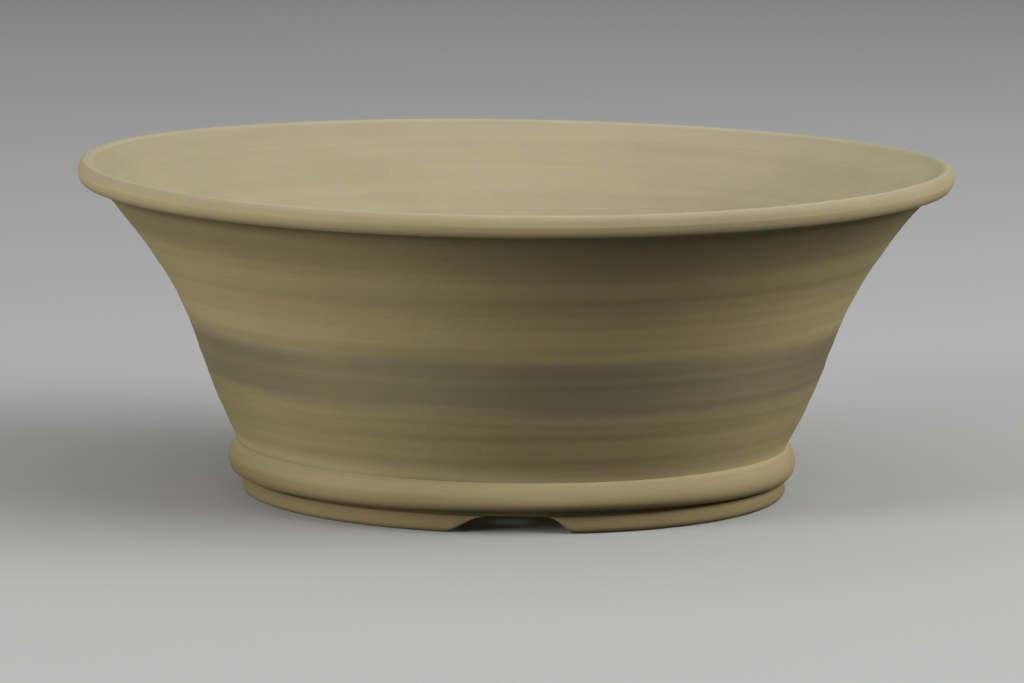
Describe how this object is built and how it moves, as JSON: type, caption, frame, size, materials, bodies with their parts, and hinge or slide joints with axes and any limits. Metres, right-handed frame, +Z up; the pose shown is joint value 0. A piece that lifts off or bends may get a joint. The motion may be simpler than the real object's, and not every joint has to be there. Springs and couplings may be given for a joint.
{
  "type": "bonsai pot",
  "caption": "Round unglazed stoneware bonsai pot: rounded lip, flared wall, half-round base band and a foot ring cut into low feet, with a drain hole and tie-wire holes.",
  "frame": {"origin": "centre of the plane that the feet stand on, on the axis of the pot", "axes": "+Z up along the axis of the pot, -Y towards the front foot cut-out, +X to the right seen from the front"},
  "size_m": [0.2, 0.2, 0.0755],
  "materials": {
    "stoneware": "dry matte, unglazed, fine throwing lines and grog specks"
  },
  "bodies": {
    "root": {"bowl_wall": "stoneware", "rim_lip": "stoneware", "floor_disc": "stoneware", "base_band": "stoneware", "foot_ring": "stoneware", "foot_1": "stoneware", "foot_2": "stoneware", "foot_3": "stoneware"}
  },
  "joints": []
}
